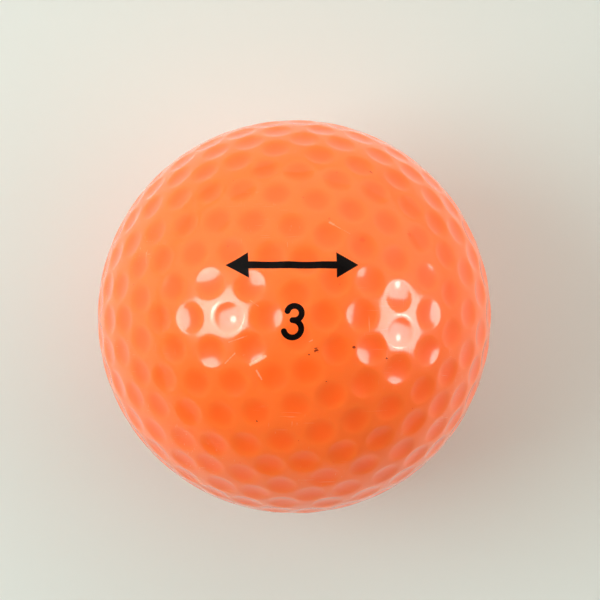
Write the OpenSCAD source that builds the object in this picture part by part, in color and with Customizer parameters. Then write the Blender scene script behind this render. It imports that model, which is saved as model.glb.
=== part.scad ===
// Golf ball: a solid core inside a dimpled cover that is moulded as two half shells, fused on the
// seam, pad printed on both poles and sealed under a clear coat.
//
// Frame: origin at the ball's centre, +Z through the middle of the upper printed pole, and the
// seam between the half shells in the XY plane. The marks read upright with +Y up.

/* [Ball] */
// Outside diameter over the clear coat
ball_d = 42.67; // [42.67:0.01:43.5]
// Diameter of the solid core
core_d = 38.9; // [36:0.1:40]
// Thickness of the clear coat
coat_t = 0.04; // [0.03:0.005:0.06]

/* [Dimples] */
// Half angle that one dimple spans, seen from the ball's centre
dimple_half = 4.3; // [3.5:0.05:4.4]
// Angle between the dimple's wall and the flat across its rim
dimple_wall = 11; // [8:0.5:16]
// Turn of the whole pattern about the pole
pattern_turn = 37; // [0:1:71]

/* [Printing] */
// Thickness of the ink film
ink_t = 0.02; // [0.01:0.005:0.025]
// Length of the alignment arrow
arrow_l = 13; // [8:0.5:14]
// Width of the alignment arrow's bar
arrow_w = 0.7; // [0.4:0.1:1.2]
// Length of each arrow head
head_l = 2.2; // [1.2:0.1:3]
// Height of each arrow head
head_h = 2.5; // [1.5:0.1:3.5]
// Height of the play number
number_h = 3.7; // [2.5:0.1:4.5]
// Width of the play number's stroke
number_w = 0.58; // [0.4:0.02:0.7]
// Offset of the printing from the pole along X
print_x = -3.1; // [-4:0.1:4]
// Height of the alignment arrow above the pole's centre line
arrow_y = 5; // [4:0.1:6]
// Height of the play number above the pole's centre line
number_y = -0.6; // [-1.5:0.1:0]

/* [Hidden] */

// Smoothness of the ball, of a dimple round its axis and of a dimple's profile
$fn = 96;
dimple_fn = 36;
profile_fn = 180;

ball_r = ball_d / 2;
core_r = core_d / 2;
cover_r = ball_r - coat_t;

// A dimple is a spherical cap. On the cover its rim circle has the radius rim_r and lies at rim_z,
// and the sphere that cuts it has the radius cap_r and its middle at cap_z.
rim_r = cover_r * sin(dimple_half);
rim_z = cover_r * cos(dimple_half);
cap_r = rim_r / sin(dimple_wall);
cap_z = rim_z + cap_r * cos(dimple_wall);

// How far a dimple's cutter reaches above its rim, below it and out past it. Past the rim the
// cutter runs clear above the land.
cutter_top = 0.16;
cutter_under = 1;
cutter_over = 0.07;

// The pattern: six great circles free of dimples part the ball into 12 pentagons of 26 dimples
// and 20 triangles of 6. Each entry below is [angle from the middle, turn about the middle].
PENTAGON = concat(
    [[0, 0]],
    [for (k = [0:4]) [9.65, 36 + 72 * k]],
    [for (k = [0:4]) [15.6, 72 * k]],
    [for (k = [0:4]) [25.95, 72 * k]],
    [for (k = [0:4], side = [-1, 1]) [21.75, 36 + 72 * k + 13.1 * side]]
);
TRIANGLE = concat(
    [for (k = [0:2]) [11.7, 120 * k]],
    [for (k = [0:2]) [6.25, 60 + 120 * k]]
);

// Middles of the pentagons and triangles over the whole ball, as [polar, azimuth, twist]. Polar
// angles run from +Z: one pentagon on each pole, two rings of five pentagons, and four rings of
// five triangles. Every one of these fields ends at a great circle, so none crosses the seam.
ring_polar = atan(2);
cap_polar = atan(3 - sqrt(5));
band_polar = atan(3 + sqrt(5));
PENTAGONS = concat(
    [[0, 0, 0], [180, 0, 0]],
    [for (k = [0:4]) [ring_polar, 72 * k, 36]],
    [for (k = [0:4]) [180 - ring_polar, 36 + 72 * k, 0]]
);
TRIANGLES = concat(
    [for (k = [0:4]) [cap_polar, 36 + 72 * k, 0]],
    [for (k = [0:4]) [band_polar, 36 + 72 * k, 180]],
    [for (k = [0:4]) [180 - band_polar, 72 * k, 0]],
    [for (k = [0:4]) [180 - cap_polar, 72 * k, 180]]
);

function turn_z(v, a) = [v.x * cos(a) - v.y * sin(a), v.x * sin(a) + v.y * cos(a), v.z];
function turn_y(v, a) = [v.x * cos(a) + v.z * sin(a), v.y, v.z * cos(a) - v.x * sin(a)];
function heading(polar, azimuth) = [sin(polar) * cos(azimuth), sin(polar) * sin(azimuth), cos(polar)];
function settled(v, field) = turn_z(turn_y(turn_z(v, field[2]), field[0]), field[1] + pattern_turn);
function spread(fields, spots) =
    [for (field = fields, spot = spots) settled(heading(spot[0], spot[1]), field)];

DIMPLES = concat(spread(PENTAGONS, PENTAGON), spread(TRIANGLES, TRIANGLE));
UPPER = [for (d = DIMPLES) if (d.z > 0) d];
LOWER = [for (d = DIMPLES) if (d.z < 0) d];

// Dimples near enough to a pole to lie under its printing: those with a heading steeper than
// pole_z. The lower pole's are turned over about the X axis, into the frame in which the printing
// is drawn.
pole_z = 0.8;
POLE_UPPER = [for (d = DIMPLES) if (d.z > pole_z) d];
POLE_LOWER = [for (d = DIMPLES) if (d.z < -pole_z) [d.x, -d.y, -d.z]];

// Height at which the printing's prisms start, inside the ball under the whole of each mark.
print_floor = 14;

// One dimple's cutter at the top of the ball. lift moves its cap outwards, for the films on the
// cover: a film that is t thick has its own dimples t above the cover's.
module dimple_cutter(lift) {
    reach = rim_r + cutter_over;
    rotate_extrude($fn = dimple_fn)
        intersection() {
            translate([0, cap_z]) circle(cap_r - lift, $fn = profile_fn);
            translate([0, rim_z - cutter_under]) square([reach, cutter_under + cutter_top]);
        }
}

module dimple_cutters(headings, lift = 0) {
    for (d = headings)
        rotate([0, acos(d.z), atan2(d.y, d.x)]) dimple_cutter(lift);
}

// The solid ball out to the surface that lies lift above the cover.
module dimpled_ball(headings, lift = 0) {
    difference() {
        sphere(cover_r + lift);
        dimple_cutters(headings, lift);
    }
}

// Half of the cover's shell, above the seam and without dimples.
module half_shell() {
    rotate_extrude()
        intersection() {
            difference() {
                circle(cover_r);
                circle(core_r);
            }
            square(ball_d);
        }
}

// Outline of the double-headed alignment arrow, centred.
module arrow_outline() {
    tip = arrow_l / 2;
    neck = tip - head_l;
    polygon([
        [-tip, 0], [-neck, head_h / 2], [-neck, arrow_w / 2],
        [neck, arrow_w / 2], [neck, head_h / 2], [tip, 0],
        [neck, -head_h / 2], [neck, -arrow_w / 2],
        [-neck, -arrow_w / 2], [-neck, -head_h / 2],
    ]);
}

// A round stroke that runs from one angle down to another, with the gap between them left open.
module bowl(radius, gap_from, gap_to) {
    far = 3 * radius;
    middle = (gap_from + gap_to) / 2;
    difference() {
        circle(radius + number_w / 2);
        circle(radius - number_w / 2);
        polygon([[0, 0], for (a = [gap_from, middle, gap_to]) far * [cos(a), sin(a)]]);
    }
    for (a = [gap_from, gap_to])
        translate(radius * [cos(a), sin(a)]) circle(number_w / 2);
}

// Outline of the numeral 3, centred: two bowls on one slant, joined by a short bar. The upper
// bowl takes upper_share of the height between the stroke's middle lines.
module number_outline() {
    spine = number_h - number_w;
    upper_share = 0.45;
    upper_r = upper_share * spine / 2;
    lower_r = (1 - upper_share) * spine / 2;
    slant = 0.2;
    waist = spine / 2 - 2 * upper_r;
    translate([slant / 2, spine / 2 - upper_r]) bowl(upper_r, 165, 270);
    translate([-slant / 2, lower_r - spine / 2]) bowl(lower_r, 90, 195);
    translate([-slant, waist - number_w / 2]) square([2 * slant, number_w]);
}

// The printing prisms reach from inside the cover up to the ink's outer surface.
module arrow_prism(headings) {
    intersection() {
        translate([print_x, arrow_y, print_floor]) linear_extrude(ball_r) arrow_outline();
        dimpled_ball(headings, ink_t);
    }
}

module number_prism(headings) {
    intersection() {
        translate([print_x, number_y, print_floor]) linear_extrude(ball_r) number_outline();
        dimpled_ball(headings, ink_t);
    }
}

// The lower pole's printing is the upper one's turned over about the X axis.
module turned_over() {
    rotate([180, 0, 0]) children();
}

module core() {
    color("dimgray") sphere(core_r);
}

module cover_upper() {
    color("orangered")
        difference() {
            half_shell();
            dimple_cutters(UPPER);
        }
}

module cover_lower() {
    color("orangered")
        difference() {
            mirror([0, 0, 1]) half_shell();
            dimple_cutters(LOWER);
        }
}

module alignment_arrow_upper() {
    color("black")
        difference() {
            arrow_prism(POLE_UPPER);
            dimpled_ball(POLE_UPPER);
        }
}

module alignment_arrow_lower() {
    color("black")
        turned_over()
            difference() {
                arrow_prism(POLE_LOWER);
                dimpled_ball(POLE_LOWER);
            }
}

module play_number_upper() {
    color("black")
        difference() {
            number_prism(POLE_UPPER);
            dimpled_ball(POLE_UPPER);
        }
}

module play_number_lower() {
    color("black")
        turned_over()
            difference() {
                number_prism(POLE_LOWER);
                dimpled_ball(POLE_LOWER);
            }
}

// One seamless film over the whole ball, with room left for the ink beneath it.
module clear_coat() {
    color([1, 0.75, 0.6, 0.35])
        difference() {
            dimpled_ball(DIMPLES, coat_t);
            dimpled_ball(DIMPLES);
            arrow_prism(POLE_UPPER);
            number_prism(POLE_UPPER);
            turned_over() arrow_prism(POLE_LOWER);
            turned_over() number_prism(POLE_LOWER);
        }
}

core();
cover_upper();
cover_lower();
alignment_arrow_upper();
alignment_arrow_lower();
play_number_upper();
play_number_lower();
clear_coat();
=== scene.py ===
"""A golf ball on a pale table top, lit by two softboxes with a bulb in each, a key and a fill.

The ball's skin is made as two half shells. Each starts as a mesh on the unit sphere, with one cell
of rings around each dimple, and a Geometry Nodes tree presses the dimples in. The printing is made
the same way, so that it follows the skin. Lengths are in metres and the ball's centre is the origin.
"""

import logging
import math
from dataclasses import dataclass, field
from enum import Enum
from typing import Any, Iterable, Sequence, Union

import bpy
import numpy as np
from mathutils import Matrix, Vector
from mathutils.geometry import delaunay_2d_cdt


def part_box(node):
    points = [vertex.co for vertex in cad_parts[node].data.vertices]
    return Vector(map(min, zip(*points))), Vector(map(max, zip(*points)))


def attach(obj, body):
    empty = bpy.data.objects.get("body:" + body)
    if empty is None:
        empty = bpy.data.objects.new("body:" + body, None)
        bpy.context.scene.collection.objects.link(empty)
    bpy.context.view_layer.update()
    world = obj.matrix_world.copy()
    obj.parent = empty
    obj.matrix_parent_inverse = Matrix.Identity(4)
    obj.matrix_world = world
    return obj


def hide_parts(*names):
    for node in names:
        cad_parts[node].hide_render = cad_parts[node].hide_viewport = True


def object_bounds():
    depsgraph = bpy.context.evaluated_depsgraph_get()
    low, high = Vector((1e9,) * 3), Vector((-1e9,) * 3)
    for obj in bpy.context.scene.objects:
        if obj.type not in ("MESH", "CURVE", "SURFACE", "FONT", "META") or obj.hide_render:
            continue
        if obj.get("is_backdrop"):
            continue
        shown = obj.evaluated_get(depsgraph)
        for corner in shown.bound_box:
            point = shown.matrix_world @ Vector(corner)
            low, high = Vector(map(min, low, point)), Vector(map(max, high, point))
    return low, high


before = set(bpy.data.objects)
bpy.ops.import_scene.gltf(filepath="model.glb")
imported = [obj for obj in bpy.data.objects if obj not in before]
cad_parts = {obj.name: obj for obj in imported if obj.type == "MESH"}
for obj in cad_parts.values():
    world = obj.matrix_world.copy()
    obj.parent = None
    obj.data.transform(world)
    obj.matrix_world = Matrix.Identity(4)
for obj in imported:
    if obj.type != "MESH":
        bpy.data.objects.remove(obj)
CAD_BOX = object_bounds()

LOG = logging.getLogger("golf_ball")
BODY = "root"
MM = 0.001
AXIS = "dimple_axis"
BESIDE = "axis_beside"
SKIN = "skin"
# The name of the depth attribute that sets the painted shade in the dimples.
SHADE_DEPTH = "dimple_depth"
SHARP_CORNER = math.radians(50)
FILM_WELD = 0.0001 * MM
INK_PROUD = 0.006 * MM
LACQUER_WAVES = 1.3
LACQUER_RELIEF = 0.0012 * MM

Number = Union[int, float]
Term = Union["Value", int, float]
Colour = tuple[float, float, float]


# ------------------------------------------------------------------------------ node expressions


class Value:
    """A socket that holds a number, with arithmetic that adds Math nodes."""

    def __init__(self, graph: "Graph", socket: bpy.types.NodeSocket) -> None:
        """Keeps the socket and the graph it is in."""
        self.graph = graph
        self.socket = socket

    def maths(self, operation: str, *others: Term) -> "Value":
        """Puts this value and others through one Math node.

        Args:
            operation: the Math node's operation.
            others: the node's second and third values, where it has them.

        Returns:
            The result.
        """
        return self.graph.maths(operation, self, *others)

    def __add__(self, other: Term) -> "Value":
        """This value plus another."""
        return self.maths("ADD", other)

    __radd__ = __add__

    def __mul__(self, other: Term) -> "Value":
        """This value times another."""
        return self.maths("MULTIPLY", other)

    __rmul__ = __mul__

    def __sub__(self, other: Term) -> "Value":
        """This value less another."""
        return self.maths("SUBTRACT", other)

    def __rsub__(self, other: Number) -> "Value":
        """A number less this value."""
        return self.graph.maths("SUBTRACT", other, self)

    def __truediv__(self, other: Term) -> "Value":
        """This value over another."""
        return self.maths("DIVIDE", other)


class Graph:
    """A node tree that is written as expressions."""

    def __init__(self, tree: bpy.types.NodeTree) -> None:
        """Keeps the tree."""
        self.tree = tree

    def node(
        self,
        kind: str,
        settings: dict[str, Any] | None = None,
        inputs: dict[Union[str, int], Any] | None = None,
    ) -> bpy.types.Node:
        """Adds any node.

        Args:
            kind: the node's type, such as ShaderNodeTexNoise.
            settings: the node's properties, which are set first.
            inputs: a value or a link for each input, by the input's name or number.

        Returns:
            The node.
        """
        made = self.tree.nodes.new(kind)
        for name, setting in (settings or {}).items():
            setattr(made, name, setting)
        for name, value in (inputs or {}).items():
            self.feed(made.inputs[name], value)
        return made

    def feed(self, socket: bpy.types.NodeSocket, value: Any) -> None:
        """Sets a socket to a plain value, or links a Value or another socket to it."""
        if isinstance(value, Value):
            value = value.socket
        if isinstance(value, bpy.types.NodeSocket):
            self.tree.links.new(value, socket)
        else:
            socket.default_value = value

    def maths(self, operation: str, *values: Term) -> Value:
        """Adds a Math node.

        Args:
            operation: the node's operation.
            values: its inputs, in order.

        Returns:
            Its result.
        """
        made = self.node("ShaderNodeMath", {"operation": operation}, dict(enumerate(values)))
        return Value(self, made.outputs[0])

    def vectors(self, operation: str, *vectors: Any, scale: Any = None) -> bpy.types.Node:
        """Adds a Vector Math node.

        Args:
            operation: the node's operation.
            vectors: its vector inputs, in order.
            scale: the factor, for the SCALE operation.

        Returns:
            The node, which has a Vector and a Value output.
        """
        made = self.node("ShaderNodeVectorMath", {"operation": operation}, dict(enumerate(vectors)))
        if scale is not None:
            self.feed(made.inputs["Scale"], scale)
        return made

    def between(self, value: Any, low: float, high: float) -> Value:
        """Turns a value's stretch from low to high into 0 to 1, smoothly and held at the ends."""
        made = self.node(
            "ShaderNodeMapRange",
            {"interpolation_type": "SMOOTHSTEP", "clamp": True},
            {"Value": value, "From Min": low, "From Max": high},
        )
        return Value(self, made.outputs["Result"])

    def blend(self, factor: Any, first: Any, second: Any) -> bpy.types.NodeSocket:
        """Mixes two colours.

        Args:
            factor: how much of the second colour shows.
            first: the first colour.
            second: the second colour.

        Returns:
            The mixed colour.
        """
        made = self.node("ShaderNodeMix", {"data_type": "RGBA"})
        for name, value in (("Factor_Float", factor), ("A_Color", first), ("B_Color", second)):
            socket = next(s for s in made.inputs if s.identifier == name)
            self.feed(socket, opaque(value) if isinstance(value, tuple) else value)
        return next(s for s in made.outputs if s.identifier == "Result_Color")


def opaque(colour: Colour) -> tuple[float, float, float, float]:
    """The colour with full opacity."""
    return (*colour, 1.0)


# ----------------------------------------------------------------------------------- the dimples


@dataclass(frozen=True)
class Dimple:
    """One dimple: a spherical cap let into the ball, with a rounded rim.

    The half angle is seen from the ball's centre, and the wall's angle is against the flat across
    the rim.
    """

    half_angle: float = math.radians(4.3)
    wall_angle: float = math.radians(10.5)
    rim_rounding: float = 0.1 * MM

    def inputs(self, radius: float, material: bpy.types.Material) -> dict[str, Any]:
        """The inputs that both trees take.

        Args:
            radius: the ball's radius there.
            material: what the piece is made of.

        Returns:
            A value for each input, by its name.
        """
        return {
            "Radius": radius,
            "Dimple Half Angle": self.half_angle,
            "Wall Angle": self.wall_angle,
            "Rim Rounding": self.rim_rounding,
            "Material": material,
        }


def turned(points: np.ndarray, axis: str, degrees: float) -> np.ndarray:
    """Turns points about an axis of the ball.

    Args:
        points: one point per row.
        axis: "Y" or "Z".
        degrees: the angle.

    Returns:
        The turned points.
    """
    cosine, sine = math.cos(math.radians(degrees)), math.sin(math.radians(degrees))
    if axis == "Y":
        matrix = np.array([[cosine, 0.0, sine], [0.0, 1.0, 0.0], [-sine, 0.0, cosine]])
    else:
        matrix = np.array([[cosine, -sine, 0.0], [sine, cosine, 0.0], [0.0, 0.0, 1.0]])
    return points @ matrix.T


@dataclass(frozen=True)
class DimplePattern:
    """432 dimples on six great circles that none of them touches.

    The circles part the ball into 12 pentagons of 26 dimples and 20 triangles of 6. A spot is a pair
    of angles in degrees: from the middle of the field, and the turn about that middle.
    """

    turn: float = 37.0
    middle_ring: float = 9.65
    edge_ring: float = 15.6
    corner_ring: float = 25.95
    side_ring: float = 21.75
    side_turn: float = 13.1
    triangle_corner: float = 11.7
    triangle_edge: float = 6.25

    def pentagon(self) -> np.ndarray:
        """The 26 dimples of a pentagon, as directions about +Z."""
        fifths = [72 * k for k in range(5)]
        spots = [(0.0, 0.0)]
        spots += [(self.middle_ring, 36 + turn) for turn in fifths]
        spots += [(self.edge_ring, turn) for turn in fifths]
        spots += [(self.corner_ring, turn) for turn in fifths]
        sides = [side * self.side_turn for side in (-1, 1)]
        spots += [(self.side_ring, 36 + turn + side) for turn in fifths for side in sides]
        return self._directions(spots)

    def triangle(self) -> np.ndarray:
        """The 6 dimples of a triangle, as directions about +Z."""
        spots = [(self.triangle_corner, 120 * k) for k in range(3)]
        spots += [(self.triangle_edge, 60 + 120 * k) for k in range(3)]
        return self._directions(spots)

    def headings(self) -> np.ndarray:
        """The directions of all the dimples, from the ball's centre."""
        ring = math.degrees(math.atan(2))
        cap = math.degrees(math.atan(3 - math.sqrt(5)))
        band = math.degrees(math.atan(3 + math.sqrt(5)))
        pentagons = [(0, 0, 0), (180, 0, 0)]
        triangles = []
        for fifth in range(5):
            turn = 72 * fifth
            pentagons += [(ring, turn, 36), (180 - ring, 36 + turn, 0)]
            triangles += [(cap, 36 + turn, 0), (band, 36 + turn, 180)]
            triangles += [(180 - band, turn, 0), (180 - cap, turn, 180)]
        fields = [self._settled(self.pentagon(), *place) for place in pentagons]
        fields += [self._settled(self.triangle(), *place) for place in triangles]
        return np.concatenate(fields)

    @staticmethod
    def _directions(spots: Iterable[tuple[float, float]]) -> np.ndarray:
        """Unit vectors for spots given as (polar, azimuth) in degrees."""
        polar, azimuth = np.radians(np.array(list(spots))).T
        sine = np.sin(polar)
        return np.stack([sine * np.cos(azimuth), sine * np.sin(azimuth), np.cos(polar)], axis=1)

    def _settled(self, spots: np.ndarray, polar: float, azimuth: float, twist: float) -> np.ndarray:
        """Moves a field from +Z to its place.

        Args:
            spots: the field's dimples about +Z.
            polar: the field's angle from +Z.
            azimuth: the field's azimuth, before the whole pattern's turn.
            twist: the field's turn about its own middle.

        Returns:
            The field's dimples in the ball's frame.
        """
        tilted = turned(turned(spots, "Z", twist), "Y", polar)
        return turned(tilted, "Z", azimuth + self.turn)


# --------------------------------------------------------------------------- meshes on the sphere


@dataclass
class SphereMesh:
    """A mesh about the unit sphere, on its way to becoming the skin or a film of ink.

    Each point carries the direction of the dimple that it belongs to, that of the next nearest
    dimple, and whether it lies on the skin, where the dimples are pressed in.
    """

    points: list[np.ndarray] = field(default_factory=list)
    axes: list[np.ndarray] = field(default_factory=list)
    beside: list[np.ndarray] = field(default_factory=list)
    on_skin: list[np.ndarray] = field(default_factory=list)
    faces: list[list[int]] = field(default_factory=list)
    size: int = 0
    weld_distance: float = 1e-6

    def add(
        self, points: np.ndarray, axes: np.ndarray, beside: np.ndarray, on_skin: bool = True
    ) -> int:
        """Adds points.

        Args:
            points: one point per row.
            axes: each point's dimple, or one dimple for all of them.
            beside: each point's next nearest dimple.
            on_skin: whether dimples are pressed in here.

        Returns:
            The number of the first point added.
        """
        first = self.size
        self.points.append(points)
        self.axes.append(np.broadcast_to(axes, points.shape))
        self.beside.append(np.broadcast_to(beside, points.shape))
        self.on_skin.append(np.full(len(points), on_skin))
        self.size += len(points)
        return first

    def fan(self, middle: int, ring: int, count: int) -> None:
        """Joins a closed ring of points to the point in its middle."""
        for k in range(count):
            self.faces.append([middle, ring + k, ring + (k + 1) % count])

    def band(self, inner: int, outer: int, count: int) -> None:
        """Joins two closed rings of as many points with quads that face outwards."""
        for k in range(count):
            after = (k + 1) % count
            self.faces.append([inner + k, outer + k, outer + after, inner + after])

    def to_object(self, name: str) -> bpy.types.Object:
        """Welds points that coincide and makes the object, with what its points carry as attributes.

        Args:
            name: the object's name.

        Returns:
            The object.
        """
        points = np.concatenate(self.points)
        spots = np.round(points / self.weld_distance).astype(np.int64)
        first, welded = np.unique(spots, axis=0, return_index=True, return_inverse=True)[1:]
        renumbered = welded.ravel().tolist()
        faces = [list(dict.fromkeys(renumbered[corner] for corner in face)) for face in self.faces]
        mesh = bpy.data.meshes.new(name)
        mesh.from_pydata(points[first].tolist(), [], [face for face in faces if len(face) > 2])
        for label, vectors in ((AXIS, self.axes), (BESIDE, self.beside)):
            attribute = mesh.attributes.new(label, "FLOAT_VECTOR", "POINT")
            kept = np.concatenate(vectors)[first].astype(np.float32)
            attribute.data.foreach_set("vector", kept.ravel())
        skin = mesh.attributes.new(SKIN, "BOOLEAN", "POINT")
        skin.data.foreach_set("value", np.concatenate(self.on_skin)[first])
        made = bpy.data.objects.new(name, mesh)
        bpy.context.scene.collection.objects.link(made)
        return made


def unit(vectors: np.ndarray) -> np.ndarray:
    """The vectors at length one."""
    return vectors / np.linalg.norm(vectors, axis=-1, keepdims=True)


class Side(Enum):
    """A half of the ball, by the sign of Z there."""

    UPPER = 1
    LOWER = -1

    @property
    def label(self) -> str:
        """The word for this side that the pieces' names end in."""
        return self.name.lower()


@dataclass
class HalfShellMesher:
    """Builds the mesh of one half shell, before its dimples are pressed in.

    Each dimple has a cell that reaches halfway to its neighbours and ends at the seam. In the cell,
    rings of points run from the dimple's middle, closely spaced over the rounded rim, to the cell's
    border. Cells share their border points, so the skin is closed. A plain inner wall and a flat
    face on the seam make it a closed shell.
    """

    pattern: DimplePattern
    dimple: Dimple
    inner_ratio: float
    neighbour_angle: float = math.radians(17)
    border_step: float = math.radians(0.85)
    rings: tuple[float, ...] = (0.24, 0.46, 0.64, 0.78, 0.87, 0.93, 0.98, 1.03)
    wall_rings: int = 12
    same_heading: float = 1 - 1e-9
    same_place: float = 1e-6
    on_seam: float = 1e-7
    seam_grid: float = 1e5

    def build(self, side: Side) -> SphereMesh:
        """Builds a half.

        Args:
            side: which half.

        Returns:
            The mesh, about the unit sphere.
        """
        headings = self.pattern.headings()
        own = headings[headings[:, 2] * side.value > 0]
        mesh = SphereMesh()
        seam: dict[tuple[int, int], np.ndarray] = {}
        for heading in own:
            border = self._border(self._cell(heading, self._around(heading, own), side))
            self._fill(mesh, heading, self._around(heading, headings), border)
            for point in border[np.abs(border[:, 2]) < self.on_seam]:
                seam[tuple(np.round(point[:2] * self.seam_grid).astype(int))] = point
        self._close(mesh, unit(np.array(list(seam.values())) * (1, 1, 0)), side)
        return mesh

    def _around(self, heading: np.ndarray, headings: np.ndarray) -> np.ndarray:
        """Those of the directions that are near a dimple's, without its own."""
        near = headings @ heading
        return headings[(near > math.cos(self.neighbour_angle)) & (near < self.same_heading)]

    def _cell(self, heading: np.ndarray, others: np.ndarray, side: Side) -> np.ndarray:
        """Finds a dimple's cell. The cells of one half fill it up to the seam, with no gap.

        Args:
            heading: the dimple's direction.
            others: the directions of its neighbours on the same half.
            side: the half that the cell stays in.

        Returns:
            The cell's corners in order, as directions.
        """
        across, up = self._tangents(heading)
        reach = math.tan(self.neighbour_angle)
        square = ((-1, -1), (1, -1), (1, 1), (-1, 1))
        corners = [heading + reach * (x * across + y * up) for x, y in square]
        for plane in [*(heading - others), np.array([0.0, 0.0, side.value])]:
            corners = self._clipped(corners, plane)
        corners = unit(np.array(corners))
        apart = np.linalg.norm(corners - np.roll(corners, 1, axis=0), axis=1) > self.same_place
        return corners[apart]

    @staticmethod
    def _clipped(corners: list[np.ndarray], plane: np.ndarray) -> list[np.ndarray]:
        """Cuts off what lies below a plane through the ball's centre from a polygon."""
        kept = []
        heights = [float(corner @ plane) for corner in corners]
        for k, (corner, height) in enumerate(zip(corners, heights)):
            last, last_height = corners[k - 1], heights[k - 1]
            if (height > 0) != (last_height > 0):
                share = last_height / (last_height - height)
                kept.append(last + share * (corner - last))
            if height > 0:
                kept.append(corner)
        return kept

    def _border(self, corners: np.ndarray) -> np.ndarray:
        """Spaces points along a cell's border so that the cell next to it has the same ones."""
        points = []
        for start, end in zip(corners, np.roll(corners, -1, axis=0)):
            angle = math.acos(min(1.0, float(start @ end)))
            steps = max(1, round(angle / self.border_step))
            shares = np.arange(steps)[:, None] / steps
            points.append(unit(start * (1 - shares) + end * shares))
        return np.concatenate(points)

    def _fill(
        self, mesh: SphereMesh, heading: np.ndarray, others: np.ndarray, border: np.ndarray
    ) -> None:
        """Fills a cell with rings of points from its dimple's middle to its border.

        Args:
            mesh: the mesh to add to.
            heading: the dimple's direction.
            others: its neighbours' directions, on both halves.
            border: the points along the cell's border.
        """
        count = len(border)
        cosine = border @ heading
        outward = unit(border - cosine[:, None] * heading)
        reach = np.arccos(np.clip(cosine, -1, 1))
        half = self.dimple.half_angle
        angles = [np.full(count, share * half) for share in self.rings]
        angles.append((angles[-1] + reach) / 2)
        beside = others[np.argmax(border @ others.T, axis=1)]
        middle = mesh.add(heading[None, :], heading, beside[:1])
        inner = None
        for angle in angles:
            points = np.cos(angle)[:, None] * heading + np.sin(angle)[:, None] * outward
            ring = mesh.add(points, heading, beside)
            if inner is None:
                mesh.fan(middle, ring, count)
            else:
                mesh.band(inner, ring, count)
            inner = ring
        mesh.band(inner, mesh.add(border, heading, beside), count)

    def _close(self, mesh: SphereMesh, seam: np.ndarray, side: Side) -> None:
        """Adds the face on the seam and the inner wall.

        Args:
            mesh: the mesh to add to.
            seam: the skin's points on the seam.
            side: which half this is.
        """
        order = np.argsort(np.arctan2(seam[:, 1], seam[:, 0]) * side.value)
        rim = seam[order]
        count = len(rim)
        nowhere = np.zeros(3)
        # These points are welded to the skin's points on the seam, and take over what those carry.
        ring = mesh.add(rim, -rim, -rim)
        for step in range(self.wall_rings):
            angle = math.pi / 2 * step / self.wall_rings
            lift = np.array([0.0, 0.0, side.value * math.sin(angle)])
            wall = mesh.add(self.inner_ratio * (math.cos(angle) * rim + lift), nowhere, nowhere, False)
            mesh.band(ring, wall, count)
            ring = wall
        pole = mesh.add(np.array([[0.0, 0.0, side.value * self.inner_ratio]]), nowhere, nowhere, False)
        for k in range(count):
            mesh.faces.append([pole, ring + (k + 1) % count, ring + k])

    @staticmethod
    def _tangents(heading: np.ndarray) -> tuple[np.ndarray, np.ndarray]:
        """Two directions across a heading that turn anticlockwise seen from outside."""
        hint = np.array([0.0, 1.0, 0.0]) if abs(heading[1]) < 0.9 else np.array([1.0, 0.0, 0.0])
        across = unit(np.cross(hint, heading))
        return across, np.cross(heading, across)


# -------------------------------------------------------------------------- geometry node trees


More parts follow.
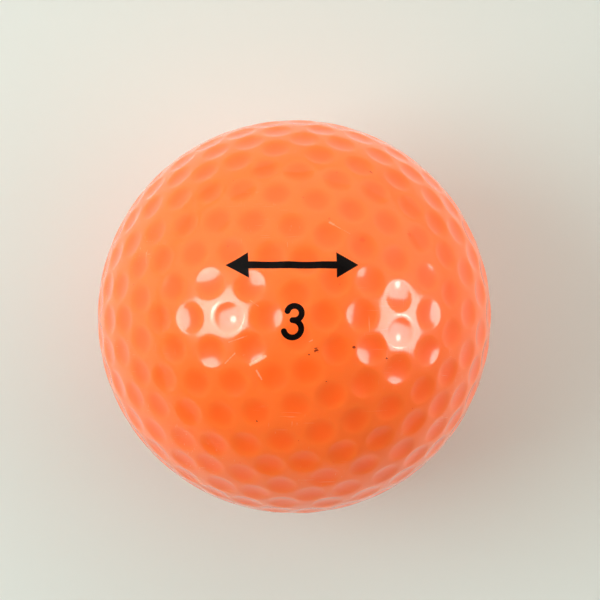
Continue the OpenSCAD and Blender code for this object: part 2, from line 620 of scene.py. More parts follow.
class DimpleTree:
    """The rule that gives the skin its height, as a Geometry Nodes group, and the trees that use it."""

    HEIGHT_INPUTS = ("Radius", "Dimple Half Angle", "Wall Angle", "Rim Rounding")

    def __init__(self) -> None:
        """Makes the group and the two trees."""
        self.height = self._height_group()
        self.skin = self._skin_tree()
        self.film = self._film_tree()

    def _height_group(self) -> bpy.types.NodeTree:
        """The group that gives the skin's place in the direction of each point.

        Inside a dimple, the skin is a sphere that bulges inwards. Outside, it is the ball. A smooth
        minimum of the two rounds the rim. The depths of the two nearest dimples add up, which
        rounds a narrow ridge between them.

        Returns:
            The group.
        """
        tree = bpy.data.node_groups.new("skin_height", "GeometryNodeTree")
        for name in self.HEIGHT_INPUTS:
            tree.interface.new_socket(name, in_out="INPUT", socket_type="NodeSocketFloat")
        tree.interface.new_socket("Place", in_out="OUTPUT", socket_type="NodeSocketVector")
        tree.interface.new_socket("Depth", in_out="OUTPUT", socket_type="NodeSocketFloat")
        tree.interface.new_socket("Direction", in_out="OUTPUT", socket_type="NodeSocketVector")
        g = Graph(tree)
        entry = g.node("NodeGroupInput")
        radius, half, wall, rounding = (Value(g, entry.outputs[name]) for name in self.HEIGHT_INPUTS)
        position = g.node("GeometryNodeInputPosition").outputs["Position"]
        direction = g.vectors("NORMALIZE", position).outputs["Vector"]
        bulge = radius * half.maths("SINE") / wall.maths("SINE")
        middle = radius * half.maths("COSINE") + bulge * wall.maths("COSINE")
        depth = 0
        for name in (AXIS, BESIDE):
            kept = {"data_type": "FLOAT_VECTOR"}
            axis = g.node("GeometryNodeInputNamedAttribute", kept, {"Name": name})
            heading = axis.outputs["Attribute"]
            cosine = Value(g, g.vectors("DOT_PRODUCT", direction, heading).outputs["Value"])
            crossed = g.vectors("CROSS_PRODUCT", direction, heading).outputs["Vector"]
            side = middle * Value(g, g.vectors("LENGTH", crossed).outputs["Value"])
            inside = (bulge * bulge - side * side).maths("MAXIMUM", 0.0)
            facing = cosine.maths("GREATER_THAN", 0.0)
            dimpled = middle * cosine - inside.maths("SQRT")
            depth = (radius - radius.maths("SMOOTH_MIN", dimpled, rounding)) * facing + depth
        place = g.vectors("SCALE", direction, scale=radius - depth).outputs["Vector"]
        share = depth / (radius - middle + bulge)
        g.node("NodeGroupOutput", inputs={"Place": place, "Depth": share, "Direction": direction})
        return tree

    def _started(self, name: str, extra: Sequence[str]) -> tuple[Graph, bpy.types.Node, bpy.types.Node]:
        """Starts a tree for a modifier.

        Args:
            name: the tree's name.
            extra: its float inputs beyond those of the height group.

        Returns:
            The graph, its input node and the height group's node.
        """
        tree = bpy.data.node_groups.new(name, "GeometryNodeTree")
        tree.interface.new_socket("Geometry", in_out="INPUT", socket_type="NodeSocketGeometry")
        for wanted in (*self.HEIGHT_INPUTS, *extra):
            tree.interface.new_socket(wanted, in_out="INPUT", socket_type="NodeSocketFloat")
        tree.interface.new_socket("Material", in_out="INPUT", socket_type="NodeSocketMaterial")
        tree.interface.new_socket("Geometry", in_out="OUTPUT", socket_type="NodeSocketGeometry")
        g = Graph(tree)
        entry = g.node("NodeGroupInput")
        heights = {wanted: entry.outputs[wanted] for wanted in self.HEIGHT_INPUTS}
        group = g.node("GeometryNodeGroup", {"node_tree": self.height}, heights)
        return g, entry, group

    @staticmethod
    def _ended(g: Graph, geometry: Any, material: Any) -> None:
        """Ends a tree: smooth faces with sharp corners, real instances and the material.

        Args:
            g: the tree's graph.
            geometry: what it has made.
            material: the material's socket.
        """
        corner = Value(g, g.node("GeometryNodeInputMeshEdgeAngle").outputs["Unsigned Angle"])
        gentle = corner.maths("LESS_THAN", SHARP_CORNER)
        faces = g.node(
            "GeometryNodeSetShadeSmooth",
            {"domain": "FACE"},
            {"Geometry": geometry, "Shade Smooth": True},
        )
        edges = g.node(
            "GeometryNodeSetShadeSmooth",
            {"domain": "EDGE"},
            {"Geometry": faces.outputs["Geometry"], "Shade Smooth": gentle},
        )
        real = g.node("GeometryNodeRealizeInstances", inputs={"Geometry": edges.outputs["Geometry"]})
        dressed = g.node(
            "GeometryNodeSetMaterial",
            inputs={"Geometry": real.outputs["Geometry"], "Material": material},
        )
        g.node("NodeGroupOutput", inputs={"Geometry": dressed.outputs["Geometry"]})

    def _skin_tree(self) -> bpy.types.NodeTree:
        """The tree that presses the dimples into a half shell."""
        g, entry, group = self._started("half_shell", ())
        on_skin = g.node("GeometryNodeInputNamedAttribute", {"data_type": "BOOLEAN"}, {"Name": SKIN})
        position = g.node("GeometryNodeInputPosition").outputs["Position"]
        wall = g.vectors("SCALE", position, scale=entry.outputs["Radius"]).outputs["Vector"]
        place = g.node(
            "GeometryNodeSwitch",
            {"input_type": "VECTOR"},
            {"Switch": on_skin.outputs["Attribute"], "False": wall, "True": group.outputs["Place"]},
        )
        moved = g.node(
            "GeometryNodeSetPosition",
            inputs={"Geometry": entry.outputs["Geometry"], "Position": place.outputs["Output"]},
        )
        marked = self._marked(g, moved.outputs["Geometry"], group.outputs["Depth"])
        self._ended(g, marked, entry.outputs["Material"])
        return g.tree

    @staticmethod
    def _marked(g: Graph, geometry: Any, depth: Any) -> bpy.types.NodeSocket:
        """Stores how deep each point lies in its dimple, from 0 on the land to 1, for the painted shade in
        the dimples.
        """
        stored = g.node(
            "GeometryNodeStoreNamedAttribute",
            {"data_type": "FLOAT", "domain": "POINT"},
            {"Geometry": geometry, "Name": SHADE_DEPTH, "Value": depth},
        )
        return stored.outputs["Geometry"]

    def _film_tree(self) -> bpy.types.NodeTree:
        """The tree that lays a flat mark on the skin as a closed film."""
        g, entry, group = self._started("ink_film", ("Thickness",))
        outward = group.outputs["Direction"]
        thickness = entry.outputs["Thickness"]
        step = g.vectors("SCALE", outward, scale=thickness).outputs["Vector"]
        under = g.vectors("SUBTRACT", group.outputs["Place"], step).outputs["Vector"]
        bottom = g.node(
            "GeometryNodeSetPosition", inputs={"Geometry": entry.outputs["Geometry"], "Position": under}
        )
        position = g.node("GeometryNodeInputPosition").outputs["Position"]
        lift = g.vectors("NORMALIZE", position).outputs["Vector"]
        raised = g.node(
            "GeometryNodeExtrudeMesh",
            {"mode": "FACES"},
            {
                "Mesh": bottom.outputs["Geometry"],
                "Offset": lift,
                "Offset Scale": thickness,
                "Individual": False,
            },
        )
        turned_over = g.node("GeometryNodeFlipFaces", inputs={"Mesh": bottom.outputs["Geometry"]})
        both = g.node("GeometryNodeJoinGeometry")
        for part in (raised, turned_over):
            g.tree.links.new(part.outputs["Mesh"], both.inputs["Geometry"])
        closed = g.node(
            "GeometryNodeMergeByDistance",
            inputs={"Geometry": both.outputs["Geometry"], "Distance": FILM_WELD},
        )
        self._ended(g, closed.outputs["Geometry"], entry.outputs["Material"])
        return g.tree


def shaped(
    piece: bpy.types.Object, tree: bpy.types.NodeTree, inputs: dict[str, Any]
) -> bpy.types.Object:
    """Runs a Geometry Nodes tree on an object and keeps the result as its plain mesh.

    Args:
        piece: the object.
        tree: the tree.
        inputs: a value for each of the tree's inputs, by name.

    Returns:
        The object.
    """
    modifier = piece.modifiers.new(tree.name, "NODES")
    modifier.node_group = tree
    for item in tree.interface.items_tree:
        if item.in_out == "INPUT" and item.name in inputs:
            modifier[item.identifier] = inputs[item.name]
    evaluated = piece.evaluated_get(bpy.context.evaluated_depsgraph_get())
    mesh = bpy.data.meshes.new_from_object(evaluated)
    piece.modifiers.remove(modifier)
    raw = piece.data
    piece.data = mesh
    bpy.data.meshes.remove(raw)
    mesh.name = piece.name
    for name in (AXIS, BESIDE, SKIN):
        if name in mesh.attributes:
            mesh.attributes.remove(mesh.attributes[name])
    return piece


# ---------------------------------------------------------------------------------- the finishes


class Paint:
    """A material with one Principled shader, ready for its nodes."""

    def __init__(self, name: str) -> None:
        """Makes the material.

        Args:
            name: its name.
        """
        self.material = bpy.data.materials.new(name)
        self.material.use_nodes = True
        self.material.node_tree.nodes.clear()
        self.g = Graph(self.material.node_tree)
        self.shader = self.g.node("ShaderNodeBsdfPrincipled")
        self.g.node("ShaderNodeOutputMaterial", inputs={"Surface": self.shader.outputs["BSDF"]})
        place = self.g.node("ShaderNodeTexCoord").outputs["Object"]
        self.place = self.g.vectors("SCALE", place, scale=1 / MM).outputs["Vector"]

    def set(self, **sockets: Any) -> None:
        """Sets or links the shader's sockets, by their names with _ for a space."""
        for name, value in sockets.items():
            self.g.feed(self.shader.inputs[name.replace("_", " ").title()], value)

    def noise(self, scale: float, detail: float = 2.0, stretch: Sequence[float] = (1, 1, 1)) -> Value:
        """Noise over the piece.

        Args:
            scale: how many waves it has in a millimetre.
            detail: its finer octaves.
            stretch: factors on X, Y and Z that draw it out.

        Returns:
            The noise, from 0 to 1.
        """
        place = self.g.vectors("MULTIPLY", self.place, tuple(stretch)).outputs["Vector"]
        made = self.g.node(
            "ShaderNodeTexNoise",
            inputs={"Vector": place, "Scale": scale, "Detail": detail},
        )
        return Value(self.g, made.outputs[0])

    def attribute(self, name: str) -> Value:
        """A number that the piece's mesh carries, by its name."""
        return Value(self.g, self.g.node("ShaderNodeAttribute", {"attribute_name": name}).outputs["Fac"])

    def bump(self, height: Value, depth: float) -> bpy.types.NodeSocket:
        """A normal from a height.

        Args:
            height: the height, from 0 to 1.
            depth: what 1 stands for, in metres.

        Returns:
            The normal.
        """
        made = self.g.node("ShaderNodeBump", inputs={"Height": height, "Distance": depth, "Strength": 1.0})
        return made.outputs["Normal"]

    def constant(self, **sockets: Any) -> None:
        """Sets plain values on the shader's own sockets, by their names with _ for a space."""
        for name, value in sockets.items():
            title = name.replace("_", " ").title().replace("Ior", "IOR")
            self.shader.inputs[title].default_value = value


@dataclass(frozen=True)
class Speck:
    """A spot of dirt on the upper half, by its place seen from the pole, in millimetres."""

    x: float
    y: float
    size: float
    strength: float = 1.0


@dataclass(frozen=True)
class Scratch:
    """A scratch or a scuff between two places on the upper half, in millimetres, painted pale partly as
    wear and partly as painted highlight.
    """

    x0: float
    y0: float
    x1: float
    y1: float
    width: float
    scuff_and_glint_strength: float = 0.5


@dataclass(frozen=True)
class IonomerFinish:
    """The cover: orange plastic under a gloss lacquer, lightly worn, with painted shade in the dimples, a
    painted glow and partly painted glints on its scuffs.
    """

    land: Colour = (1.0, 0.178, 0.028)
    # Painted shade: the deeper orange towards the middle of each dimple.
    dimple_shade: Colour = (1.0, 0.124, 0.011)
    cloudy: Colour = (0.95, 0.15, 0.018)
    dirt: Colour = (0.09, 0.010, 0.004)
    # Painted light: the cover glows orange of itself, though it is no lamp.
    painted_glow: Colour = (1.0, 0.09, 0.006)
    painted_glow_strength: float = 0.185
    # Partly real wear, partly painted highlight: scuffs are painted as pale as the glints they catch.
    scuff_and_glint: Colour = (1.0, 0.55, 0.36)
    specks: tuple[Speck, ...] = (
        Speck(-0.9, -3.4, 0.34),
        Speck(-1.6, -3.8, 0.10),
        Speck(2.9, -3.1, 0.22),
        Speck(6.3, -4.2, 0.22),
        Speck(5.8, 14.7, 0.30),
        Speck(-6.3, -10.5, 0.20),
        Speck(0.2, -6.5, 0.12),
        Speck(0.7, 9.6, 0.22, 0.35),
        Speck(4.0, 7.5, 0.50, 0.22),
        Speck(9.2, 8.2, 0.42, 0.25),
    )
    scratches: tuple[Scratch, ...] = (
        Scratch(-9.6, -4.7, -8.7, -3.7, 0.09, 0.6),
        Scratch(-7.9, -3.9, -7.3, -3.6, 0.13, 0.6),
        Scratch(-7.2, -4.8, -5.8, -4.0, 0.20, 1.0),
        Scratch(-6.6, -5.4, -6.1, -6.3, 0.13, 0.7),
        Scratch(-9.3, -2.6, -7.6, -2.0, 0.07, 0.6),
        Scratch(-1.7, -2.6, -1.3, -2.4, 0.07, 0.5),
        Scratch(-7.3, 1.5, -6.2, 0.7, 0.05, 0.5),
        Scratch(0.75, 9.25, 1.1, 9.05, 0.15, 0.5),
        Scratch(1.0, 9.1, 2.7, 8.1, 0.06, 0.4),
    )
    dust_strength: float = 0.6
    dust_scale: float = 0.42
    dust_size: tuple[float, float] = (0.035, 0.06)
    dust_raggedness: float = 0.04
    speck_raggedness: float = 2.6
    gloss_roughness: float = 0.32
    scuff_roughness: float = 0.4
    grain_roughness: float = 0.06
    tone_share: float = 0.35
    scuff_and_glint_share: float = 0.75
    hair_share: float = 0.35
    coat_roughness: float = 0.022
    coat_ior: float = 1.32
    plastic_ior: float = 1.5
    plastic_specular: float = 0.12
    translucency: float = 0.35
    light_travel: Colour = (1.0, 0.22, 0.06)
    light_travel_scale: float = 0.9 * MM
    dimple_shade_edges: tuple[float, float] = (-0.15, 1.0)
    ball_radius: float = 21.3

    def material(self) -> bpy.types.Material:
        """Builds the material."""
        paint = Paint("orange_ionomer")
        cloud = paint.noise(0.35, 4.0)
        grain = paint.noise(9.0, 3.0)
        tone = paint.g.between(cloud * 0.7 + grain * 0.3, 0.3, 0.7)
        # Painted shade: the colour deepens from the land towards the dimples' middles.
        dimple_shading = paint.g.between(paint.attribute(SHADE_DEPTH), *self.dimple_shade_edges)
        colour = paint.g.blend(dimple_shading, self.land, self.dimple_shade)
        colour = paint.g.blend(tone * self.tone_share, colour, self.cloudy)
        wear_and_glint = self._scratched(paint).maths("MAXIMUM", self._hairlines(paint) * self.hair_share)
        # Scuffs and hair scratches are painted pale: partly wear, partly painted highlight.
        colour = paint.g.blend(wear_and_glint * self.scuff_and_glint_share, colour, self.scuff_and_glint)
        dirty = self._dirty(paint)
        paint.set(
            base_color=paint.g.blend(dirty, colour, self.dirt),
            roughness=self.gloss_roughness + wear_and_glint * self.scuff_roughness + grain * self.grain_roughness,
            coat_weight=(1.0 - wear_and_glint * 0.5) * (1.0 - dirty * 0.9),
            normal=paint.bump(paint.noise(LACQUER_WAVES, 2.0) - wear_and_glint * 0.6, LACQUER_RELIEF),
        )
        paint.constant(
            coat_roughness=self.coat_roughness,
            coat_ior=self.coat_ior,
            ior=self.plastic_ior,
            specular_ior_level=self.plastic_specular,
            subsurface_weight=self.translucency,
            subsurface_radius=self.light_travel,
            subsurface_scale=self.light_travel_scale,
            # Painted light: the glow that brightens the cover's red.
            emission_color=opaque(self.painted_glow),
            emission_strength=self.painted_glow_strength,
        )
        return paint.material

    def _dirty(self, paint: Paint) -> Value:
        """Where dirt sits: the named specks, and a sprinkle of fine ones all over."""
        ragged = paint.noise(5.0, 4.0, (0.6, 1.3, 1.0))
        dots = paint.g.node(
            "ShaderNodeTexVoronoi",
            {"feature": "F1"},
            {"Vector": paint.place, "Scale": self.dust_scale, "Randomness": 1.0},
        )
        distance = Value(paint.g, dots.outputs["Distance"])
        mask = 1 - paint.g.between(distance + ragged * self.dust_raggedness, *self.dust_size)
        mask = mask * self.dust_strength
        for speck in self.specks:
            spot = tuple(self._on_ball(speck.x, speck.y))
            away = Value(paint.g, paint.g.vectors("DISTANCE", paint.place, spot).outputs["Value"])
            edge = away + (ragged - 0.45) * self.speck_raggedness * speck.size
            dark = (1 - paint.g.between(edge, 0.45 * speck.size, 0.9 * speck.size)) * speck.strength
            mask = mask.maths("MAXIMUM", dark)
        return mask

    def _scratched(self, paint: Paint) -> Value:
        """How scuffed the skin is by the scratches, from 0 to 1. The same mask paints the pale glints that
        the scuffs catch.
        """
        wear_and_glint = None
        ragged = paint.noise(6.0, 3.0)
        for scratch in self.scratches:
            start = self._on_ball(scratch.x0, scratch.y0)
            run = self._on_ball(scratch.x1, scratch.y1) - start
            arm = paint.g.vectors("SUBTRACT", paint.place, tuple(start)).outputs["Vector"]
            along = Value(paint.g, paint.g.vectors("DOT_PRODUCT", arm, tuple(run)).outputs["Value"])
            share = (along / run.length_squared).maths("MAXIMUM", 0.0).maths("MINIMUM", 1.0)
            foot = paint.g.vectors("SCALE", tuple(run), scale=share).outputs["Vector"]
            away = Value(paint.g, paint.g.vectors("DISTANCE", arm, foot).outputs["Value"])
            edge = away + (ragged - 0.5) * scratch.width
            line = (1 - paint.g.between(edge, 0.3 * scratch.width, scratch.width)) * scratch.scuff_and_glint_strength
            wear_and_glint = line if wear_and_glint is None else wear_and_glint.maths("MAXIMUM", line)
        return wear_and_glint

    def _hairlines(self, paint: Paint) -> Value:
        """Faint hair scratches, a few to a region and in two directions."""
        where = paint.g.between(paint.noise(0.12, 2.0), 0.52, 0.68)
        one = paint.g.between(paint.noise(1.0, 1.0, (0.25, 9.0, 1.0)), 0.70, 0.74)
        two = paint.g.between(paint.noise(1.0, 1.0, (7.0, 0.4, 2.0)), 0.71, 0.75)
        return where * one.maths("MAXIMUM", two)

    def _on_ball(self, x: float, y: float) -> Vector:
        """The place on the upper half over a point seen from the pole, in millimetres."""
        return Vector((x, y, math.sqrt(self.ball_radius**2 - x * x - y * y)))


@dataclass(frozen=True)
class InkFinish:
    """Pad-printed black ink under the same lacquer."""

    black: Colour = (0.002, 0.001, 0.001)
    thin: Colour = (0.012, 0.004, 0.002)
    specular: float = 0.03
    coat: float = 0.1
    coat_roughness: float = 0.035

    def material(self) -> bpy.types.Material:
        """Builds the material."""
        paint = Paint("black_ink")
        cover = paint.g.between(paint.noise(7.0, 3.0), 0.55, 0.8)
        paint.set(
            base_color=paint.g.blend(cover, self.black, self.thin),
            roughness=0.4 + cover * 0.15,
            normal=paint.bump(paint.noise(LACQUER_WAVES, 2.0), LACQUER_RELIEF),
        )
        paint.constant(
            specular_ior_level=self.specular, coat_weight=self.coat, coat_roughness=self.coat_roughness
        )
        return paint.material


@dataclass(frozen=True)
class RubberFinish:
    """The core: moulded rubber with fine filler in it."""

    dark: Colour = (0.10, 0.11, 0.13)
    pale: Colour = (0.20, 0.21, 0.24)
    relief: float = 0.01 * MM

    def material(self) -> bpy.types.Material:
        """Builds the material."""
        paint = Paint("core_rubber")
        filler = paint.noise(5.0, 4.0)
        cloud = paint.noise(0.3, 3.0)
        tone = paint.g.between(filler * 0.5 + cloud * 0.5, 0.35, 0.65)
        paint.set(
            base_color=paint.g.blend(tone, self.dark, self.pale),
            roughness=0.62 + filler * 0.2,
            normal=paint.bump(filler, self.relief),
        )
        return paint.material


@dataclass(frozen=True)
class TableFinish:
    """The plain pale surface that the ball lies on."""

    pale: Colour = (0.735, 0.785, 0.745)
    roughness: float = 0.75

    def material(self) -> bpy.types.Material:
        """Builds the material."""
        paint = Paint("pale_table")
        paint.constant(base_color=opaque(self.pale), roughness=self.roughness)
        return paint.material


# --------------------------------------------------------------------------------- the assembly


@dataclass
class Cover:
    """The dimpled cover: two half shells, each with its share of the clear coat over it."""

    dimple: Dimple
    pattern: DimplePattern
    trees: DimpleTree
    radius: float
    core_radius: float

    def build(self, finish: IonomerFinish) -> list[bpy.types.Object]:
        """Builds and dresses both halves.

        Args:
            finish: the cover's finish.

        Returns:
            The two halves.
        """
        material = finish.material()
        mesher = HalfShellMesher(self.pattern, self.dimple, self.core_radius / self.radius)
        return [self._half(mesher, side, material) for side in Side]

    def _half(
        self, mesher: HalfShellMesher, side: Side, material: bpy.types.Material
    ) -> bpy.types.Object:
        """Builds one half and hides the CAD parts that it takes the place of."""
        half = mesher.build(side).to_object(f"cover_{side.label}_skin")
        shaped(half, self.trees.skin, self.dimple.inputs(self.radius, material))
        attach(half, BODY)
        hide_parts(f"cover_{side.label}", "clear_coat")
        return half


class Mark(Enum):
    """A printed mark, by the CAD node that it stands for."""

    ARROW = "alignment_arrow"
    NUMBER = "play_number"


@dataclass
class Printing:
    """The arrow and the play number at both poles."""

    dimple: Dimple
    pattern: DimplePattern
    trees: DimpleTree
    radius: float
    thickness: float = 0.02 * MM
    bar_width: float = 0.7 * MM
    head_length: float = 2.2 * MM
    stroke: float = 0.58 * MM
    slant: float = 0.2 * MM
    upper_share: float = 0.45
    spacing: float = 0.11 * MM
    clear_of_edge: float = 0.45
    join_distance: float = 1e-5

    def build(self, finish: InkFinish) -> list[bpy.types.Object]:
        """Builds and dresses the marks of both poles.

        Args:
            finish: the ink's finish.

        Returns:
            The four marks.
        """
        material = finish.material()
        return [self._mark(mark, side, material) for side in Side for mark in Mark]

    def _mark(self, mark: Mark, side: Side, material: bpy.types.Material) -> bpy.types.Object:
        """Builds one mark and hides the CAD part that it takes the place of."""
        node = f"{mark.value}_{side.label}"
        low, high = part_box(node)
        centre = (low + high) / 2
        size = high - low
        draw = {Mark.ARROW: self._arrow, Mark.NUMBER: self._number}[mark]
        loops = [loop + (centre.x, centre.y * side.value) for loop in draw(size)]
        sheet = self._laid(loops, side)
        film = sheet.to_object(f"{node}_ink")
        inputs = self.dimple.inputs(self.radius, material)
        shaped(film, self.trees.film, inputs | {"Thickness": self.thickness})
        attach(film, BODY)
        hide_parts(node)
        return film

    def _arrow(self, size: Vector) -> list[np.ndarray]:
        """The outline of a double-headed arrow of this size, centred."""
        tip, wing, bar = size.x / 2, size.y / 2, self.bar_width / 2
        neck = tip - self.head_length
        right = [(neck, bar), (neck, wing), (tip, 0.0), (neck, -wing), (neck, -bar)]
        left = [(-x, -y) for x, y in right]
        return [np.array(right[::-1] + left[::-1])]

    def _number(self, size: Vector) -> list[np.ndarray]:
        """The outlines of the numeral 3, centred: two bowls on one slant and a short bar.

        Args:
            size: the numeral's size, of which the height sets the bowls' radii.

        Returns:
            The outlines, which overlap.
        """
        spine = size.y - self.stroke
        upper = self.upper_share * spine / 2
        lower = (1 - self.upper_share) * spine / 2
        waist = spine / 2 - 2 * upper
        bar = self.stroke / 2
        corners = [(-1, -1), (1, -1), (1, 1), (-1, 1)]
        return [
            self._bowl(upper, 165, -90) + (self.slant / 2, spine / 2 - upper),
            self._bowl(lower, 90, -165) + (-self.slant / 2, lower - spine / 2),
            np.array([(x * self.slant, waist + y * bar) for x, y in corners]),
        ]

    def _bowl(self, radius: float, start: float, end: float) -> np.ndarray:
        """The outline of a round stroke from one angle down to another, with round ends."""
        half = self.stroke / 2

        def arc(middle: tuple[float, float], size: float, first: float, last: float) -> np.ndarray:
            """Points along an arc, its angles in degrees."""
            count = max(4, round(abs(math.radians(last - first)) * size / self.spacing))
            angles = np.radians(np.linspace(first, last, count + 1))
            return np.stack([np.cos(angles), np.sin(angles)], axis=1) * size + middle

        def tip(angle: float) -> tuple[float, float]:
            """The middle of the stroke's end."""
            return radius * math.cos(math.radians(angle)), radius * math.sin(math.radians(angle))

        outline = [
            arc((0, 0), radius + half, start, end)[:-1],
            arc(tip(end), half, end, end - 180)[:-1],
            arc((0, 0), radius - half, end, start)[:-1],
            arc(tip(start), half, start + 180, start)[:-1],
        ]
        return np.concatenate(outline)[::-1]

    def _laid(self, loops: list[np.ndarray], side: Side) -> SphereMesh:
        """Fills outlines with fine triangles and lays them on the unit sphere.

        Args:
            loops: the outlines, seen from outside over the pole.
            side: the pole.

        Returns:
            The mesh.
        """
        points, loop_lists, first = [], [], 0
        for loop in loops:
            loop = self._dense(loop)
            points.append(loop)
            loop_lists.append(list(range(first, first + len(loop))))
            first += len(loop)
        edge = np.concatenate(points)
        points.append(self._grid(edge))
        flat = [Vector(point) for point in (np.concatenate(points) / MM).tolist()]
        found = delaunay_2d_cdt(flat, [], loop_lists, 1, self.join_distance)
        plane = np.array([vertex[:] for vertex in found[0]]) * MM / self.radius
        height = np.sqrt(1 - (plane**2).sum(axis=1))
        directions = np.column_stack([plane, height]) * (1, side.value, side.value)
        headings = self.pattern.headings()
        order = np.argsort(-directions @ headings.T, axis=1)
        mesh = SphereMesh()
        mesh.add(directions, headings[order[:, 0]], headings[order[:, 1]])
        mesh.faces = [self._anticlockwise(list(face), plane) for face in found[2]]
        return mesh

    def _dense(self, loop: np.ndarray) -> np.ndarray:
        """The outline with points no further apart than the spacing."""
        points = []
        for start, end in zip(loop, np.roll(loop, -1, axis=0)):
            steps = max(1, math.ceil(float(np.linalg.norm(end - start)) / self.spacing))
            shares = np.arange(steps)[:, None] / steps
            points.append(start * (1 - shares) + end * shares)
        return np.concatenate(points)

    def _grid(self, edge: np.ndarray) -> np.ndarray:
        """A staggered grid of points over an outline's box, clear of its edge."""
        low, high = edge.min(axis=0), edge.max(axis=0)
        rise = self.spacing * math.sqrt(3) / 2
        rows = np.arange(low[1] + rise / 2, high[1], rise)
        points = []
        for number, y in enumerate(rows):
            xs = np.arange(low[0] + self.spacing * (number % 2) / 2, high[0], self.spacing)
            points.append(np.column_stack([xs, np.full(len(xs), y)]))
        grid = np.concatenate(points)
        gaps = np.linalg.norm(grid[:, None, :] - edge[None, :, :], axis=2).min(axis=1)
        return grid[gaps > self.clear_of_edge * self.spacing]

    @staticmethod
    def _anticlockwise(face: list[int], plane: np.ndarray) -> list[int]:
        """The face's points in the order that makes it face outwards."""
        a, b, c = (plane[k] for k in face[:3])
        area = (b[0] - a[0]) * (c[1] - a[1]) - (b[1] - a[1]) * (c[0] - a[0])
        return face if area > 0 else face[::-1]


@dataclass
class Core:
    """The solid core, which keeps its CAD shape."""

    node: str = "core"

    def build(self, finish: RubberFinish) -> list[bpy.types.Object]:
        """Dresses the core.

        Args:
            finish: the core's finish.

        Returns:
            The core.
        """
        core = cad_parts[self.node]
        core.data.materials.clear()
        core.data.materials.append(finish.material())
        return [core]


# ----------------------------------------------------------------------------------- the studio


NEUTRAL: Colour = (1.0, 1.0, 0.98)
TUNGSTEN: Colour = (1.0, 0.95, 0.82)
DAYLIGHT: Colour = (0.75, 0.98, 1.0)


class Reach(Enum):
    """What a lamp's light shows up in."""

    GLOSS = "gloss"
    MATT = "matt"


@dataclass(frozen=True)
class Lamp:
    """A panel of light that faces the ball.

    Its place is given by the angle that it stands off the upper pole and its azimuth, in degrees,
    and its size by the angles that it spans seen from the ball. A soft panel is brightest in its
    middle and fades out towards a rounded edge.
    """

    name: str
    polar: float
    azimuth: float
    width: float
    height: float
    radiance: float
    colour: Colour
    roll: float
    reach: Reach
    fade: float = 0.0
    corners: float = 3.0
    distance: float = 0.6
    margin: float = 1.6

    def build(self) -> bpy.types.Object:
        """Builds the light.

        Returns:
            The light.
        """
        light = bpy.data.lights.new(self.name, "AREA")
        light.shape = "RECTANGLE"
        margin = self.margin if self.fade else 1.0
        light.size = margin * 2 * self.distance * math.tan(math.radians(self.width / 2))
        light.size_y = margin * 2 * self.distance * math.tan(math.radians(self.height / 2))
        light.color = self.colour
        light.energy = self.radiance * math.pi * light.size * light.size_y
        if self.fade:
            self._fade_out(light)
        made = bpy.data.objects.new(self.name, light)
        made.matrix_world = self._stance()
        made.visible_camera = False
        made.visible_diffuse = self.reach is Reach.MATT
        made.visible_glossy = self.reach is Reach.GLOSS
        bpy.context.scene.collection.objects.link(made)
        return made

    def _stance(self) -> Matrix:
        """Where the lamp stands and how it is turned, facing the ball."""
        polar, azimuth = math.radians(self.polar), math.radians(self.azimuth)
        flat = math.sin(polar)
        away = Vector((flat * math.cos(azimuth), flat * math.sin(azimuth), math.cos(polar)))
        across = Vector((0, 1, 0)).cross(away).normalized()
        turn = Matrix((across, away.cross(across), away)).transposed().to_4x4()
        roll = Matrix.Rotation(math.radians(self.roll), 4, "Z")
        return Matrix.Translation(away * self.distance) @ turn @ roll

    def _fade_out(self, light: bpy.types.Light) -> None:
        """Makes the panel fade out towards its edge.

        Args:
            light: the light, which is the margin's factor bigger than the panel.
        """
        light.use_nodes = True
        g = Graph(light.node_tree)
        emission = next(n for n in light.node_tree.nodes if n.type == "EMISSION")
        spot = g.node("ShaderNodeNewGeometry").outputs["Parametric"]
        split = g.node("ShaderNodeSeparateXYZ", inputs={"Vector": spot})
        powers = []
        for name in ("X", "Y"):
            across = ((Value(g, split.outputs[name]) - 0.5) * (2 * self.margin)).maths("ABSOLUTE")
            powers.append(across.maths("POWER", self.corners))
        out = (powers[0] + powers[1]).maths("POWER", 1 / self.corners)
        grown = ((out - 1) / self.fade).maths("EXPONENT") + 1
        g.feed(emission.inputs["Strength"], g.maths("DIVIDE", 1.0, grown))


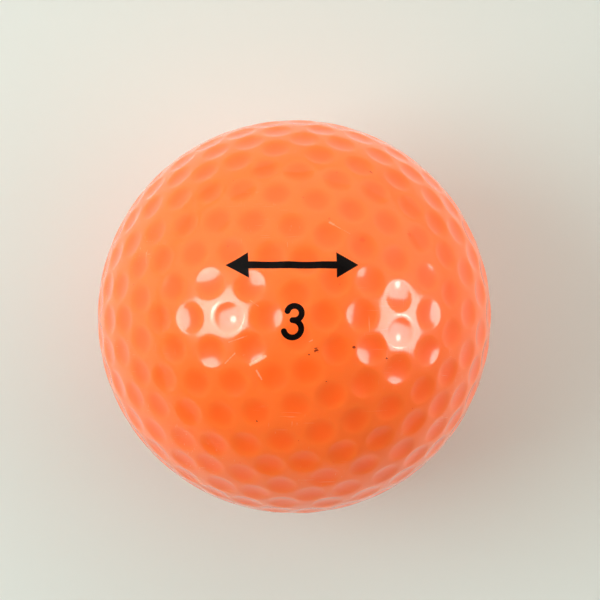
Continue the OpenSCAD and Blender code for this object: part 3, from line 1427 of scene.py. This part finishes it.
@dataclass
class Studio:
    """The table top, the lights and the camera.

    The surround is brightest on the far side and dimmer overhead, and its ramps are given by the Y
    and Z of the direction in which they start and end.
    """

    floor_half: float = 1.2
    surround: Colour = (0.96, 0.92, 0.86)
    near_surround: Colour = (1.0, 0.80, 0.66)
    bright: float = 1.51
    dim: float = 0.29
    overhead_shade: float = 0.55
    camera_polar: float = 8.28
    camera_azimuth: float = 182.1
    camera_distance: float = 0.2094
    lens: float = 115.4
    shift: tuple[float, float] = (0.0092, 0.0279)
    sensor_width: float = 36.0
    clip_start: float = 0.01
    far_side: tuple[float, float] = (-0.7, 0.6)
    overhead: tuple[float, float] = (0.55, 0.95)
    lamps: tuple[Lamp, ...] = (
        Lamp("softbox_left", 49.9, 177.7, 35, 25, 13.5, NEUTRAL, 12, Reach.GLOSS, 0.05, 3.4),
        Lamp("softbox_right", 53.8, -2.7, 30, 28, 13.0, NEUTRAL, -9, Reach.GLOSS, 0.05, 4.6),
        Lamp("bulb_left", 49.9, 177.7, 6, 6, 40.0, TUNGSTEN, 12, Reach.GLOSS, 0.2, 2.0, 0.58),
        Lamp("bulb_right", 53.8, -2.7, 6, 6, 34.0, TUNGSTEN, -9, Reach.GLOSS, 0.2, 2.0, 0.58),
        Lamp("key_left", 49.9, 177.7, 34, 30, 5.0, DAYLIGHT, 12, Reach.MATT, distance=0.36),
        Lamp("fill_right", 53.8, -2.7, 34, 32, 2.6, TUNGSTEN, -9, Reach.MATT),
    )

    def build(self) -> None:
        """Builds all of it."""
        self._surround()
        self._floor()
        for lamp in self.lamps:
            lamp.build()
        self._camera()

    def _surround(self) -> None:
        """A plain pale light from all round, warmer and dimmer on the near side."""
        world = bpy.data.worlds.new("surround")
        world.use_nodes = True
        background = world.node_tree.nodes["Background"]
        g = Graph(world.node_tree)
        towards = g.node("ShaderNodeTexCoord").outputs["Generated"]
        way = g.node("ShaderNodeSeparateXYZ", inputs={"Vector": towards})
        far_side = g.between(way.outputs["Y"], *self.far_side)
        overhead = g.between(way.outputs["Z"], *self.overhead)
        level = (far_side * (self.bright - self.dim) + self.dim) * (1 - overhead * self.overhead_shade)
        g.feed(background.inputs["Color"], g.blend(far_side, self.near_surround, self.surround))
        g.feed(background.inputs["Strength"], level)
        bpy.context.scene.world = world
        bpy.context.scene.view_settings.view_transform = "Standard"

    def _floor(self) -> None:
        """The table top, at the lowest point of the ball."""
        level = CAD_BOX[0][2]
        half = self.floor_half
        corners = [(-half, -half, level), (half, -half, level), (half, half, level), (-half, half, level)]
        mesh = bpy.data.meshes.new("table_top")
        mesh.from_pydata(corners, [], [(0, 1, 2, 3)])
        mesh.materials.append(TableFinish().material())
        floor = bpy.data.objects.new("table_top", mesh)
        bpy.context.scene.collection.objects.link(floor)
        floor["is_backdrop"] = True

    def _camera(self) -> None:
        """The camera, almost straight above the upper pole."""
        data = bpy.data.cameras.new("camera")
        data.lens = self.lens
        data.sensor_width = self.sensor_width
        data.shift_x, data.shift_y = self.shift
        data.clip_start = self.clip_start
        camera = bpy.data.objects.new("camera", data)
        polar, azimuth = math.radians(self.camera_polar), math.radians(self.camera_azimuth)
        flat = math.sin(polar)
        back = Vector((flat * math.cos(azimuth), flat * math.sin(azimuth), math.cos(polar)))
        right = Vector((0, 1, 0)).cross(back).normalized()
        up = back.cross(right)
        turn = Matrix((right, up, back)).transposed()
        camera.matrix_world = Matrix.Translation(back * self.camera_distance) @ turn.to_4x4()
        bpy.context.scene.collection.objects.link(camera)
        bpy.context.scene.camera = camera


# --------------------------------------------------------------------------------------- making


def write_sizes() -> None:
    """Works out the CAD box and the visual model's box as plain lists; they are not written anywhere."""
    boxes = {"cad": CAD_BOX, "visual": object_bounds()}
    plain = {name: [[float(x) for x in corner] for corner in box] for name, box in boxes.items()}


def main() -> None:
    """Builds the ball and the studio, and reports each piece."""
    logging.basicConfig(level=logging.INFO, format="%(name)s: %(message)s")
    coat_low, coat_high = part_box("clear_coat")
    core_low, core_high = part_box("core")
    radius = (coat_high.x - coat_low.x) / 2
    core_radius = (core_high.x - core_low.x) / 2
    dimple, pattern, trees = Dimple(), DimplePattern(), DimpleTree()
    pieces = Core().build(RubberFinish())
    pieces += Cover(dimple, pattern, trees, radius - INK_PROUD, core_radius).build(IonomerFinish())
    pieces += Printing(dimple, pattern, trees, radius).build(InkFinish())
    Studio().build()
    for piece in pieces:
        LOG.info("%s: %d faces", piece.name, len(piece.data.polygons))
    write_sizes()


if __name__ == "__main__":
    main()
